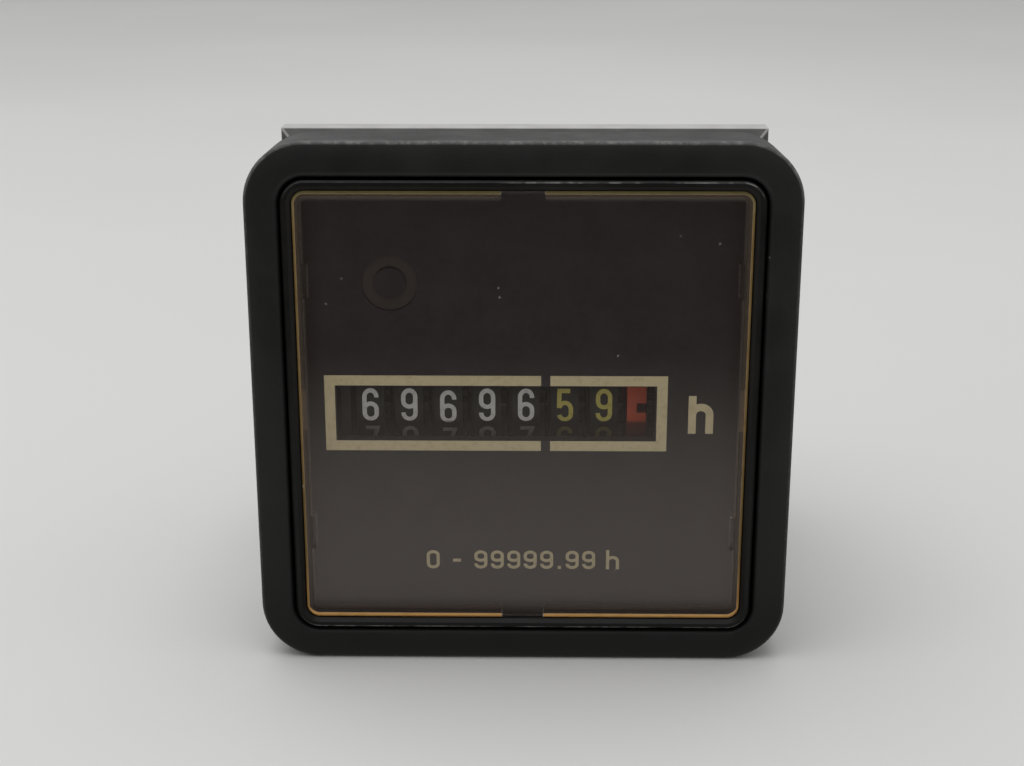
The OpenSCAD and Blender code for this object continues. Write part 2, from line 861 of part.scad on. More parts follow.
module coil_bobbin() {
  mouth = rotor_axis[0] + cup_r + pin_stand;
  color("#ece6d6")
    union() {
      turned(rotor_axis) {
        translate([bobbin_r, bobbin_x0])
          square([bobbin_t, bobbin_x1 - bobbin_x0]);
        for (x = [bobbin_x0, bobbin_x1 - bobbin_t])
          translate([bobbin_r, x])
            square([bobbin_out - bobbin_r, bobbin_t]);
      }
      difference() {
        translate([pin_x - pin_block_w / 2, rotor_axis[0], rotor_axis[1] - pin_block_h / 2])
          cube([pin_block_w, mouth - rotor_axis[0], pin_block_h]);
        bar(rotor_axis, bobbin_out - bobbin_clear, cup_x, plate_x);
      }
      for (x = [bobbin_x0, pin_x + pin_block_w / 2 - eps])
        translate([x, rotor_axis[0] + bobbin_out - winding_low + bobbin_clear, rotor_axis[1] - tie_w / 2])
          cube([(bobbin_x1 - bobbin_x0 - pin_block_w) / 2 + eps, tie_t, tie_w]);
      for (z = [-1, 1])
        peg(pin_x, rotor_axis[1] + z * pin_z, pin_r, mouth - pin_w, cover_y);
    }
}

module coil_winding() {
  color("#a8552b")
    turned(rotor_axis)
      translate([bobbin_r + bobbin_t, bobbin_x0 + bobbin_t])
        square([bobbin_out - winding_low - bobbin_r - bobbin_t, bobbin_x1 - bobbin_x0 - 2 * bobbin_t]);
}

module rotor_magnet() {
  color("#3a3a3c")
    turned(rotor_axis)
      translate([rotor_shaft_d / 2, cup_x + stator_t + rotor_clear])
        square([rotor_r - rotor_shaft_d / 2, cup_len - stator_t - 2 * rotor_clear]);
}

module rotor_shaft() {
  pinion_x0 = gear_a_x - end_play;
  pinion_x1 = gear_a_x + gear_t + end_play;
  color("#b9bcc0")
    union() {
      bar(rotor_axis, rotor_shaft_d / 2, cup_x, bridge_x + bridge_t);
      train_pinion(rotor_axis, pinion10, pinion_x0, pinion_x1, angle_rotor + 180 + 180 / pinion10);
    }
}

module motor_screws() {
  color("#c9ccd0")
    for (z = [-1, 1])
      side_screw(rotor_axis + [0, z * ear_at], plate_x, stator_t + cheek_t, -1);
}

module rear_cover() {
  block_y = cover_y + cover_t;
  color("#1d1c1b")
    difference() {
      union() {
        slab(cover_y, block_y)
          rounded_square(body_half - cover_inset, body_corner_r - cover_inset);
        slab(block_y - eps, block_y + block_h)
          square([block_w, block_d], center = true);
        slab(block_y, block_y + block_h + barrier_h)
          square([barrier_t, block_d], center = true);
      }
      for (x = [-1, 1]) {
        slab(cover_y - eps, block_y + block_h + eps)
          translate([x * blade_gap / 2, 0])
            square([blade_w + 2 * fit, blade_t + 2 * fit], center = true);
        for (z = [-1, 1]) {
          peg(x * post_at, z * post_at, shank_r + fit, cover_y - eps, block_y + eps);
          peg(x * post_at, z * post_at, cover_head_r + fit, block_y - cover_head_h, block_y + eps);
        }
      }
    }
}

// Blade with a holed, chamfered tip, and a foot that reaches the coil's pin
module terminal(x, way) {
  tip = cover_y + cover_t + block_h + blade_len;
  foot_low = min(-blade_t / 2, way * (pin_z + foot_w / 2));
  foot_high = max(blade_t / 2, way * (pin_z + foot_w / 2));
  run_low = min(x - blade_w / 2, pin_x - foot_w / 2);
  run_high = max(x + blade_w / 2, pin_x + foot_w / 2);
  color("#c9b58a")
    difference() {
      union() {
        translate([x, 0, -blade_t / 2])
          linear_extrude(blade_t)
            polygon([[-blade_w / 2, cover_y - foot_t], [blade_w / 2, cover_y - foot_t],
              [blade_w / 2, tip - tip_cut], [blade_w / 2 - tip_cut, tip], [tip_cut - blade_w / 2, tip],
              [-blade_w / 2, tip - tip_cut]]);
        translate([x - blade_w / 2, cover_y - foot_t, foot_low])
          cube([blade_w, foot_t, foot_high - foot_low]);
        translate([run_low, cover_y - foot_t, way * pin_z - foot_w / 2])
          cube([run_high - run_low, foot_t, foot_w]);
      }
      translate([x, tip - 0.4 * blade_len, -blade_t])
        cylinder(r = latch_r, h = 2 * blade_t);
      peg(pin_x, way * pin_z, pin_r + fit / 2, cover_y - foot_t - eps, cover_y + eps);
    }
}

module terminal_left() {
  terminal(-blade_gap / 2, 1);
}

module terminal_right() {
  terminal(blade_gap / 2, -1);
}

module cover_screws() {
  top = cover_y + cover_t;
  seat = top - cover_head_h;
  slot = 0.45;
  color("#c9ccd0")
    for (x = [-1, 1], z = [-1, 1])
      difference() {
        union() {
          peg(x * post_at, z * post_at, cover_head_r, seat, top);
          peg(x * post_at, z * post_at, shank_r, seat - shank_len, seat + eps);
        }
        translate([x * post_at, top, z * post_at])
          cube([2 * cover_head_r + eps, 2 * slot, slot], center = true);
      }
}

// One spring arm of the clamping frame, with the tip that stands on the ribs
module spring_arm() {
  tip_x = body_half + rib_h + rib_gap;
  in_x = tip_x + arm_step;
  end_y = clamp_rear + arm_len;
  translate([0, 0, -arm_w / 2])
    linear_extrude(arm_w)
      polygon([[in_x, clamp_rear - arm_step], [in_x + arm_t, clamp_rear - arm_step], [in_x + arm_t, end_y],
        [in_x, end_y], [tip_x, end_y - 1.5 * arm_step], [in_x, end_y - 3.5 * arm_step]]);
}

module clamp_frame() {
  depth = clamp_rear - clamp_y;
  slope_run = clamp_slope * tan(clamp_angle);
  rib_room = body_half + rib_h + rib_gap;
  color("#d9d8d2")
    union() {
      difference() {
        translate([-clamp_half, clamp_y, -clamp_half])
          cube([2 * clamp_half, depth, 2 * clamp_half]);
        translate([-clamp_in, clamp_y - eps, -clamp_in])
          cube([2 * clamp_in, depth + 2 * eps, 2 * clamp_in]);
        translate([-rib_room, clamp_y - eps, -arm_w / 2 - clamp_clear])
          cube([2 * rib_room, depth + 2 * eps, arm_w + 2 * clamp_clear]);
        for (a = [0 : 90 : 270])
          rotate([0, a, 0])
            translate([0, clamp_y, clamp_half])
              rotate([90, 0, 90])
                linear_extrude(4 * clamp_half, center = true)
                  polygon([[-eps, eps], [clamp_slope, eps], [clamp_slope, 0], [-eps, -slope_run]]);
      }
      spring_arm();
      mirror([1, 0, 0])
        spring_arm();
    }
}

front_bezel();
housing();
window();
dial_plate();
counter_frame();
drum_shaft();
pinion_shaft();
for (k = [1 : wheel_count])
  number_wheel(k);
run_indicator_wheel();
for (k = [1 : wheel_count])
  transfer_pinion(k);
gear_a();
gear_b();
arbor_a();
arbor_b();
gear_bridge();
bridge_screws();
stator_cup();
stator_end_plate();
coil_bobbin();
coil_winding();
rotor_magnet();
rotor_shaft();
motor_screws();
rear_cover();
terminal_left();
terminal_right();
cover_screws();
clamp_frame();
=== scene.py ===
"""Looks of a panel-mounted hour meter: finishes for the solids, painted digits and dial print."""

import math

import bpy
import numpy as np
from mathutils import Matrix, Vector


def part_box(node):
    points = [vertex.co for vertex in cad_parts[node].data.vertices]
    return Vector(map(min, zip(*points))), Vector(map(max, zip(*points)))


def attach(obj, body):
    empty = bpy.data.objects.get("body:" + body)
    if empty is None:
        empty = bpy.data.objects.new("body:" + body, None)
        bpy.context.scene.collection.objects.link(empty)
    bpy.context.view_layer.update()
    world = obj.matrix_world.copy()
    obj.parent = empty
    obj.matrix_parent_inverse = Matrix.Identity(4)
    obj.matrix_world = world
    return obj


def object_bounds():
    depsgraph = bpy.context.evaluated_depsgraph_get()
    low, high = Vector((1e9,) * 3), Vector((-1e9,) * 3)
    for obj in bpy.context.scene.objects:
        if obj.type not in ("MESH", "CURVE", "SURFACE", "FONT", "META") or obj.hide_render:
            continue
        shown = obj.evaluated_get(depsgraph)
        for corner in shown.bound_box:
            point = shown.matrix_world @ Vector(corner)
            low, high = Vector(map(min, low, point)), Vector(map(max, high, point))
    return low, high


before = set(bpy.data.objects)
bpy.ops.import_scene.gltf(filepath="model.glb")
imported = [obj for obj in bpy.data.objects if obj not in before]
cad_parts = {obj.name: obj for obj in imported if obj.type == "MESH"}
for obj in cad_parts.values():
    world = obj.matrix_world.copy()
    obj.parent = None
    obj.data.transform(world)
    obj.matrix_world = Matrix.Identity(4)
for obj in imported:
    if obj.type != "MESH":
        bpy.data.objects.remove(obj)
cad_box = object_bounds()

MM = 0.001

# Camera, from the photograph's perspective: turn in degrees, lens and sensor in millimetres
CAMERA_PLACE = (1.264 * MM, -167.303 * MM, 52.429 * MM)
CAMERA_TURN = (72.859, 0.052, 0.831)
CAMERA_LENS = 57.96
SENSOR_WIDTH = 36.0
CAMERA_CLIP = 5.0 * MM

# Digit wheels, counted from the fastest: the reading at rest goes from the slowest to the fastest
READING = (6, 9, 6, 9, 6, 5, 9)
YELLOW_WHEELS = 2
LOW_WHEEL = 5
LOW_WHEEL_DROP = 0.2 * MM
DIGITS = 10
DIGIT_STEP = math.radians(360.0 / DIGITS)

# Digit shape, as the middle line of a painted stroke
DIGIT_HALF = 0.63 * MM
DIGIT_HEIGHT = 3.16 * MM
DIGIT_STROKE = 0.46 * MM
PAINT_RISE = 0.02 * MM
PAINT_SINK = 0.03 * MM
STROKE_STEP = 0.002 * MM
LINE_STEP = 0.15 * MM
STOP_DECIMALS = 6
MITRE_LIMIT = 0.5
ARC_POINTS = 18
LOOP_POINTS = 30

# Dial print, as distances from the middle of the dial
BORDER_LEFT = -20.5 * MM
BORDER_RIGHT = 14.9 * MM
BORDER_TOP = 3.2 * MM
BORDER_BOTTOM = -4.95 * MM
BORDER_WIDTH = 1.08 * MM
BORDER_GAP_X = 2.34 * MM
BORDER_GAP = 0.96 * MM
UNIT_X = 17.49 * MM
UNIT_Z = -3.0 * MM
UNIT_HEIGHT = 4.1 * MM
UNIT_SPAN = 1.79 * MM
UNIT_STROKE = 0.8 * MM
UNIT_SHOULDER = 0.5 * UNIT_HEIGHT
UNIT_ARCH = 0.2 * UNIT_HEIGHT
RANGE_Z = -18.1 * MM
RANGE_HEIGHT = 1.75 * MM
RANGE_HALF = 0.3 * RANGE_HEIGHT
RANGE_STROKE = 0.34 * MM
RANGE_TEXT = "0 - 99999.99 h"
RANGE_NARROW = {" ": 0.45, ".": 0.55}
RING_PLACE = (-13.5 * MM, 12.9 * MM)
RING_RADII = (1.65 * MM, 2.85 * MM)

# Front of the meter: the distances that its finishes change at, outwards, forwards and from the middle
CORNER_CENTRE = 21.5 * MM
BEZEL_OUT = 6.15 * MM
BEZEL_FACE = 7.3 * MM
FLANGE_EDGE = 10.2 * MM
FLANGE_FACE = 8.0 * MM
WINDOW_OUT = 1.3 * MM
WINDOW_FACE = 7.75 * MM
WINDOW_BEVEL = 0.25 * MM
NOTCH_HALF = 2.2 * MM
PANE_BACK = 6.55 * MM
LUG_EDGE_X = 21.7 * MM
LUG_MIDDLE_Z = 13.5 * MM
LUG_HALF = 1.8 * MM

# Fades: levels of a smooth step, and values to fade between. A name in COVER holds the values, then the levels
RISING = (0.0, 1.0)
FALLING = (1.0, 0.0)
MOTTLE = (0.35, 0.7)
EVEN = (0.3, 0.7)

# Specks: the share of a speck that is full, and the grain of all dust in cells per metre
SPECK_CORE = 0.7
DUST_GRAIN = 5200.0

# Black plastics, with the scales of noise in cells per metre here and below
BEZEL_PLASTIC = dict(
    dark=(0.0065, 0.0063, 0.006), light=(0.010, 0.0098, 0.0095), rough=0.5, grain=2600.0, shine=0.31)
HOUSING_PLASTIC = dict(
    dark=(0.0045, 0.0043, 0.004), light=(0.0075, 0.007, 0.0066), rough=0.38, grain=3400.0, shine=0.22)
BLACK_CLOUD = dict(scale=140.0, detail=4.0, roughness=0.6)
BLACK_ROUGH_FADE = (0.3, 0.75)
BLACK_ROUGH_SPAN = (-0.06, 0.08)
BLACK_GRAIN = dict(detail=3.0, roughness=0.65)
BLACK_BUMP = dict(depth=0.02 * MM, strength=0.6)
BLACK_PEAK_COVER = ((0.62, 0.8), (0.0, 0.5))
BLACK_PEAK_GAIN = 2.2
BLACK_SPECKS = dict(scale=420.0, size=0.065, share=0.3)
BLACK_DUST_COVER = ((0.42, 0.58), (0.0, 0.6))
BLACK_DUST = (0.2, 0.195, 0.185)

# Outer frame: pale specks along the rounded edge of its face, partly wear and partly a painted highlight,
# stronger towards the top where the light falls
BEZEL_EDGE_FADE = (BEZEL_OUT - 0.4 * MM, BEZEL_OUT - 0.15 * MM)
BEZEL_FACE_FADE = (-BEZEL_FACE + 0.15 * MM, -BEZEL_FACE + 0.55 * MM)
BEZEL_RUB = dict(scale=1300.0, detail=5.0, roughness=0.7)
BEZEL_RUB_COVER = ((0.42, 0.66), (0.45, 1.0))
BEZEL_HIGHLIGHT_HEIGHT_COVER = ((20.0 * MM, 26.0 * MM), (0.25, 0.85))
BEZEL_WEAR_AND_HIGHLIGHT = (0.18, 0.178, 0.174)

# Housing: pale dashes along the front line of its flange's bevel, above and below the window, partly wear and
# partly a painted highlight
FLANGE_BEVEL_FADE = (FLANGE_EDGE - 0.06 * MM, FLANGE_EDGE - 0.02 * MM)
FLANGE_FACE_FADE = (-FLANGE_FACE + 0.06 * MM, -FLANGE_FACE + 0.12 * MM)
FLANGE_HEIGHT_FADE = (22.0 * MM, 23.4 * MM)
FLANGE_STRETCHES = 200.0
FLANGE_STRETCH_COVER = ((0.42, 0.6), (0.05, 1.0))
FLANGE_DASHES = dict(scale=1300.0, detail=3.0)
FLANGE_DASH_COVER = ((0.4, 0.6), (0.15, 0.75))
FLANGE_WEAR_AND_HIGHLIGHT = (0.24, 0.238, 0.232)

# Window: clear plastic with a hazy margin that thins towards the foot as painted shade, and dust, whose pale
# tone also paints the glints on the lugs
WINDOW_IOR = 1.49
WINDOW_CLEAR = (0.97, 0.955, 0.935)
WINDOW_GLOSS = (1.0, 0.88, 0.81)
WINDOW_POLISH = dict(scale=60.0, detail=3.0)
WINDOW_ROUGH = (0.004, 0.014)
WINDOW_SPECKS = dict(scale=330.0, size=0.05, share=0.6)
WINDOW_DUST_COVER = ((0.4, 0.56), (0.05, 0.45))
WINDOW_DUST_AND_GLINT_FADE = (0.0, 0.1)
WINDOW_DUST_AND_GLINT = (0.6, 0.57, 0.52)
NOTCH_FADE = (NOTCH_HALF - 0.1 * MM, NOTCH_HALF + 0.1 * MM)
MARGIN_COVER = ((0.2 * MM, 1.0 * MM), (0.0, 0.8))
MARGIN_HAZE_FOOT_SHADE_COVER = ((0.0, 1.0), (0.06, 0.025))
MARGIN_TONE = (0.75, 0.5, 0.26)

# Window's rim: amber of the aged plastic with a painted glow by height, brightest at the foot, and painted
# shade deeper in the wall
RIM_EDGE = WINDOW_OUT - WINDOW_BEVEL
RIM_EDGE_FADE = (RIM_EDGE - 0.05 * MM, RIM_EDGE + 0.05 * MM)
RIM_FOOT_COVER = ((-22.3 * MM, -21.5 * MM), (0.26 * MM, 0.0))
RIM_LOW_FADE = (-23.0 * MM, -15.0 * MM)
RIM_HIGH_FADE = (19.0 * MM, 22.0 * MM)
RIM_DEPTH_FADE = (-WINDOW_FACE + 0.4 * MM, -WINDOW_FACE + 1.3 * MM)
RIM_CLOUD = dict(scale=700.0, detail=3.0)
RIM_CLOUD_COVER = ((0.25, 0.6), (0.8, 0.97))
RIM_SIDE_PAINTED_GLOW = (0.21, 0.138, 0.052)
RIM_TOP_PAINTED_GLOW = (0.22, 0.18, 0.078)
RIM_FOOT_PAINTED_GLOW = (0.62, 0.34, 0.11)
RIM_DEEP_PAINTED_SHADE = (0.016, 0.007, 0.003)

# Window's lugs: painted glints on their end faces
LUG_SIDE_FADE = (0.04 * MM, 0.1 * MM)
LUG_END_FADE = (LUG_HALF - 0.2 * MM, LUG_HALF)
LUG_BACK_FADE = (-PANE_BACK, -PANE_BACK + 0.05 * MM)
LUG_GLINT_GRAIN = 900.0
LUG_GLINT_COVER = ((0.35, 0.6), (0.12, 0.24))

# Dial: two tones, and a paler ring groove
DIAL_TONES = ((0.0175, 0.0155, 0.0165), (0.023, 0.0203, 0.0215))
DIAL_CLOUD = dict(scale=220.0, detail=5.0, roughness=0.6)
DIAL_GRAIN = dict(scale=1300.0, detail=3.0)
DIAL_BUMP = dict(depth=0.004 * MM, strength=0.25)
DIAL_ROUGH = (0.6, 0.75)
DIAL_SHINE = 0.3
RING_INNER_FADE = (RING_RADII[0] - 0.1 * MM, RING_RADII[0] + 0.25 * MM)
RING_OUTER_FADE = (RING_RADII[1] - 0.25 * MM, RING_RADII[1] + 0.1 * MM)
RING_SHARE = 0.45
RING_TONE = (0.05, 0.04, 0.034)

# Paints: full cover and thin places
PAINTS = {
    "digit_white": dict(main=(0.49, 0.49, 0.485), worn=(0.37, 0.37, 0.365)),
    "digit_yellow": dict(main=(0.36, 0.32, 0.085), worn=(0.28, 0.25, 0.065)),
    "print_beige": dict(main=(0.44, 0.38, 0.245), worn=(0.37, 0.32, 0.2)),
}
PAINT_PLACES = dict(scale=1800.0, detail=4.0, roughness=0.6)
PAINT_THIN = (0.45, 0.75)
PAINT_CLOUD = 900.0
PAINT_ROUGH = (0.5, 0.68)
PAINT_SHINE = 0.3
PAINT_GRAIN = 4200.0
PAINT_BUMP = dict(depth=0.006 * MM, strength=0.5)

# Moulded plastics: tone and blotches
PLASTICS = {
    "gear_ivory": dict(main=(0.68, 0.61, 0.45), blotch=(0.6, 0.52, 0.37), rough=0.45),
    "pinion_ivory": dict(main=(0.66, 0.62, 0.52), blotch=(0.58, 0.54, 0.44), rough=0.45),
    "frame_grey": dict(main=(0.012, 0.012, 0.012), blotch=(0.02, 0.02, 0.02), rough=0.55),
    "magnet_grey": dict(main=(0.05, 0.05, 0.054), blotch=(0.075, 0.075, 0.08), rough=0.6, grain=900.0),
    "wheel_black": dict(main=(0.006, 0.006, 0.006), blotch=(0.010, 0.010, 0.0095), rough=0.5, grain=2600.0),
}
PLASTIC_CLOUD = dict(scale=260.0, detail=3.0, roughness=0.55)
PLASTIC_ROUGH_SPAN = (-0.05, 0.07)
PLASTIC_GRAIN = 1800.0
PLASTIC_GRAIN_DETAIL = 3.0
PLASTIC_BUMP = dict(depth=0.01 * MM, strength=0.5)
PLASTIC_SPECKS = dict(scale=500.0, size=0.1, share=0.05)
PLASTIC_SPECK_SHARE = 0.5
PLASTIC_SPECK = (0.12, 0.11, 0.1)

# Run indicator: the red rim ends where the toothed ring starts
INDICATOR_PLASTIC = dict(main=(0.32, 0.05, 0.02), blotch=(0.27, 0.042, 0.017), rough=0.45)
INDICATOR_END = 13.0 * MM
INDICATOR_FADE = (INDICATOR_END, INDICATOR_END + 0.05 * MM)
INDICATOR_DARK = (0.012, 0.011, 0.011)

# Clamping frame: painted shade on its slope, which ends at the rim and is thinner along the mitres
CLAMP_PLASTIC = dict(main=(0.48, 0.475, 0.46), blotch=(0.42, 0.415, 0.4), rough=0.5)
CLAMP_RIM_Y = 10.7 * MM
CLAMP_RIM_FADE = (CLAMP_RIM_Y - 0.1 * MM, CLAMP_RIM_Y)
CLAMP_MITRE_COVER = ((0.1 * MM, 0.3 * MM), (0.4, 1.0))
CLAMP_SLOPE_PAINTED_SHADE = (0.045, 0.044, 0.042)

# Bare metals: tone, dulled patches, and how much closer the drawing lines are along each axis
METALS = {
    "steel": dict(
        main=(0.55, 0.56, 0.58), dulled=(0.4, 0.41, 0.43), rough=0.32, closer=(1.0, 8.0, 8.0)),
    "terminal_brass": dict(
        main=(0.6, 0.52, 0.36), dulled=(0.46, 0.38, 0.24), rough=0.36, closer=(8.0, 1.0, 8.0)),
    "bridge_brass": dict(
        main=(0.62, 0.46, 0.2), dulled=(0.5, 0.35, 0.14), rough=0.34, closer=(8.0, 1.0, 1.0)),
    "stator_steel": dict(
        main=(0.45, 0.46, 0.47), dulled=(0.34, 0.35, 0.36), rough=0.4, closer=(1.0, 6.0, 6.0)),
}
METAL_LINES = dict(scale=900.0, detail=4.0, roughness=0.65)
METAL_PATCHES = dict(scale=330.0, detail=4.0, roughness=0.6)
METAL_ROUGH_SPAN = (-0.07, 0.1)
METAL_BUMP = dict(depth=0.006 * MM, strength=0.5)

# Winding: enamelled copper wire
COPPER_TURNS = 1600.0
COPPER_FADE = (0.1, 0.7)
COPPER_TONES = ((0.14, 0.045, 0.018), (0.45, 0.17, 0.07))
COPPER_METAL = 0.7
COPPER_ROUGH = 0.35
COPPER_BUMP = dict(depth=0.03 * MM, strength=0.7)

# Floor, and the painted reflection that gloss shows of it by its distance from the panel, with painted shade
# far in front and a painted shadow at the foot
FLOOR_HALF = 6.0
FLOOR_TONES = ((0.7, 0.7, 0.69), (0.74, 0.74, 0.73))
FLOOR_CLOUD = dict(scale=3.0, detail=3.0)
FLOOR_ROUGH = 0.9
FLOOR_SHINE = 0.1
MIRROR_PALE = (0.62, 0.62, 0.61)
MIRROR_DIM = (0.075, 0.068, 0.064)
MIRROR_FAR_SHADE_FADE = (-135.0 * MM, -28.0 * MM)
MIRROR_FOOT_SHADOW_COVER = ((-23.5 * MM, -19.0 * MM), (0.0, 0.6))
MIRROR_BACK_FADE = (-8.0 * MM, 0.0)

# Surroundings: the way to their bright side, how they turn from dim to bright, and their tone to the camera
SKY_WAY = (0.0, 0.8, 0.6)
SKY_TURN_COVER = ((-0.75, 0.25), (0.1, 0.62))
SKY_LIT = (1.0, 1.0, 1.0)
SKY_SEEN = (0.56, 0.56, 0.55)

# Lamps, in metres and watts
TOP_LIGHT = dict(place=(-0.1, 0.02, 0.7), aim=(0.0, 0.0, 0.0), size=(0.7, 0.7), power=2.6)
LOW_CARD = dict(place=(0.0, -0.08, -0.0273), aim=(0.0, -0.08, 0.0), size=(0.16, 0.02), power=0.105, matt=True)


# Stroke shapes


def arc(centre, radii, start, end, count=ARC_POINTS):
    """Points on an ellipse from angle start to angle end in degrees: centre + radii * (cos a, sin a)."""
    a = np.radians(np.linspace(start, end, count))
    return np.stack([centre[0] + radii[0] * np.cos(a), centre[1] + radii[1] * np.sin(a)], axis=1)


def points(*pairs):
    """Corner points of a straight-sided stroke."""
    return np.array(pairs, float)


def glyph(name, half, height):
    """The strokes of a character, as a list of (middle line, closed), in a box 2 * half wide and height tall:
    narrow figures of straight sides joined by half ellipses."""
    cap = 0.22 * height
    waist = 0.55 * height
    top, bowl = height - cap, waist - 0.19 * height
    if name == "0":
        upper = arc((0, top), (half, cap), 0, 180)
        lower = arc((0, cap), (half, cap), 180, 360)
        return [(np.concatenate([upper, lower]), True)]
    if name == "1":
        return [(points((-0.6 * half, 0.8 * height), (0.2 * half, height), (0.2 * half, 0)), False)]
    if name == "2":
        hook = arc((0, top), (half, cap), 170, -25)
        return [(np.concatenate([hook, points((-half, 0), (half, 0))]), False)]
    if name == "3":
        upper = arc((0, (height + waist) / 2), (0.92 * half, (height - waist) / 2), 165, -90)
        lower = arc((0, waist / 2), (half, waist / 2), 90, -165)
        return [(np.concatenate([upper, lower[1:]]), False)]
    if name == "4":
        stem = points((0.45 * half, 0), (0.45 * half, height))
        arm = points((0.3 * half, height), (-half, 0.26 * height), (half, 0.26 * height))
        return [(stem, False), (arm, False)]
    if name == "5":
        flag = points((0.85 * half, height), (-0.92 * half, height), (-half, 0.42 * height))
        over = arc((0, bowl), (half, waist - bowl + 0.05 * height), 165, 0)
        under = arc((0, cap), (half, cap), 0, -165)
        return [(flag, False), (np.concatenate([over, under]), False)]
    if name in ("6", "9"):
        hook = np.concatenate([points((half, 0.76 * height)), arc((0, top), (half, cap), 0, 180)])
        body = np.concatenate([hook, arc((0, cap), (half, cap), 180, 360), points((half, bowl))])
        over = arc((0, bowl), (half, waist - bowl), -6, 172)
        lines = [body, over]
        if name == "9":
            lines = [np.array([0, height]) - line for line in lines]
        return [(line, False) for line in lines]
    if name == "7":
        return [(points((-half, height), (half, height), (-0.25 * half, 0)), False)]
    if name == "8":
        upper = arc((0, (height + waist) / 2), (0.92 * half, (height - waist) / 2), 0, 350, LOOP_POINTS)
        lower = arc((0, waist / 2), (half, waist / 2), 0, 350, LOOP_POINTS)
        return [(upper, True), (lower, True)]
    if name == "-":
        return [(points((-0.8 * half, 0.45 * height), (0.8 * half, 0.45 * height)), False)]
    if name == ".":
        return [(points((0, -0.1 * height), (0, 0.1 * height)), False)]
    stem = points((-half, -0.1 * height), (-half, 1.15 * height))
    leg = np.concatenate([arc((0, 0.45 * height), (half, cap), 180, 0), points((half, -0.1 * height))])
    return [(stem, False), (leg, False)]


def finer(line, closed):
    """The same middle line with points no further apart than a small step, its own corners kept."""
    if closed:
        line = np.vstack([line, line[:1]])
    along = np.concatenate([[0.0], np.cumsum(np.linalg.norm(np.diff(line, axis=0), axis=1))])
    stops = np.concatenate([along, np.arange(0.0, along[-1], LINE_STEP)])
    stops = np.unique(np.round(stops, STOP_DECIMALS))
    dense = np.stack([np.interp(stops, along, line[:, axis]) for axis in (0, 1)], axis=1)
    return dense[:-1] if closed else dense


def stroke_solid(line, width, low, high, closed):
    """A rectangle carried along a middle line: each section is line +- normal * width / 2 at the heights low
    and high, the normal being that of the mean direction, lengthened at corners so that the width holds."""
    ahead = np.roll(line, -1, axis=0) - line
    behind = line - np.roll(line, 1, axis=0)
    if not closed:
        ahead[-1] = behind[-1]
        behind[0] = ahead[0]
    ahead = ahead / np.linalg.norm(ahead, axis=1, keepdims=True)
    behind = behind / np.linalg.norm(behind, axis=1, keepdims=True)
    mean = ahead + behind
    mean = mean / np.linalg.norm(mean, axis=1, keepdims=True)
    stretch = np.clip(np.sum(mean * ahead, axis=1, keepdims=True), MITRE_LIMIT, 1.0)
    side = np.stack([-mean[:, 1], mean[:, 0]], axis=1) * width / 2 / stretch
    left, right = line + side, line - side
    count = len(line)
    rails = ((left, high), (right, high), (right, low), (left, low))
    section = np.stack([np.hstack([rail, np.full((count, 1), h)]) for rail, h in rails], axis=1)
    first = np.arange(count if closed else count - 1)
    second = (first + 1) % count
    edge = np.arange(4)
    after = (edge + 1) % 4
    quads = np.stack([
        4 * first[:, None] + edge, 4 * first[:, None] + after,
        4 * second[:, None] + after, 4 * second[:, None] + edge,
    ], axis=2).reshape(-1, 4)
    if not closed:
        last = 4 * (count - 1)
        quads = np.vstack([quads, [[3, 2, 1, 0]], [[last, last + 1, last + 2, last + 3]]])
    return section.reshape(-1, 3), quads


def joined(solids):
    """Several (vertices, quads) as one pair, with each solid's indices counted on from the last one's."""
    starts = np.cumsum([0] + [len(v) for v, _ in solids[:-1]])
    vertices = np.concatenate([v for v, _ in solids])
    return vertices, np.concatenate([q + start for (_, q), start in zip(solids, starts)])


def glyph_solid(name, half, height, width):
    """All strokes of one character, each a hair higher than the last so that crossings don't share a face."""
    return joined([
        stroke_solid(finer(line, closed), width, -PAINT_SINK, PAINT_RISE + i * STROKE_STEP, closed)
        for i, (line, closed) in enumerate(glyph(name, half, height))
    ])


def piece(name, vertices, quads, finish, body):
    """A mesh object at the origin from arrays of vertices and quads, riding on a body."""
    mesh = bpy.data.meshes.new(name)
    mesh.from_pydata(vertices.tolist(), [], quads.tolist())
    mesh.validate()
    mesh.materials.append(finish)
    obj = bpy.data.objects.new(name, mesh)
    bpy.context.scene.collection.objects.link(obj)
    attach(obj, body)


# Finishes


class Nodes:
    """A node tree, with short calls for the nodes that the finishes and the surroundings share."""

    def __init__(self, tree):
        self.tree = tree

    def node(self, kind, **settings):
        made = self.tree.nodes.new(kind)
        for key, value in settings.items():
            setattr(made, key, value)
        return made

    def feed(self, socket, value):
        """Links an output to a socket, or sets a plain value on it, with a colour made opaque."""
        if isinstance(value, bpy.types.NodeSocket):
            self.tree.links.new(value, socket)
        elif socket.type == "RGBA":
            socket.default_value = (*value, 1.0)
        else:
            socket.default_value = value

    def ramp(self, value, between, onto=RISING):
        """Smooth step of value between two limits, onto two levels."""
        made = self.node("ShaderNodeMapRange", interpolation_type="SMOOTHSTEP")
        self.feed(made.inputs["Value"], value)
        made.inputs["From Min"].default_value, made.inputs["From Max"].default_value = between
        made.inputs["To Min"].default_value, made.inputs["To Max"].default_value = onto
        return made.outputs["Result"]

    def show(self, output, main, other, ray):
        """Gives the output one shader, and another one to one kind of ray."""
        both = self.node("ShaderNodeMixShader")
        self.feed(both.inputs[0], self.node("ShaderNodeLightPath").outputs[ray])
        self.feed(both.inputs[1], main.outputs[0])
        self.feed(both.inputs[2], other.outputs[0])
        self.feed(output.inputs["Surface"], both.outputs[0])


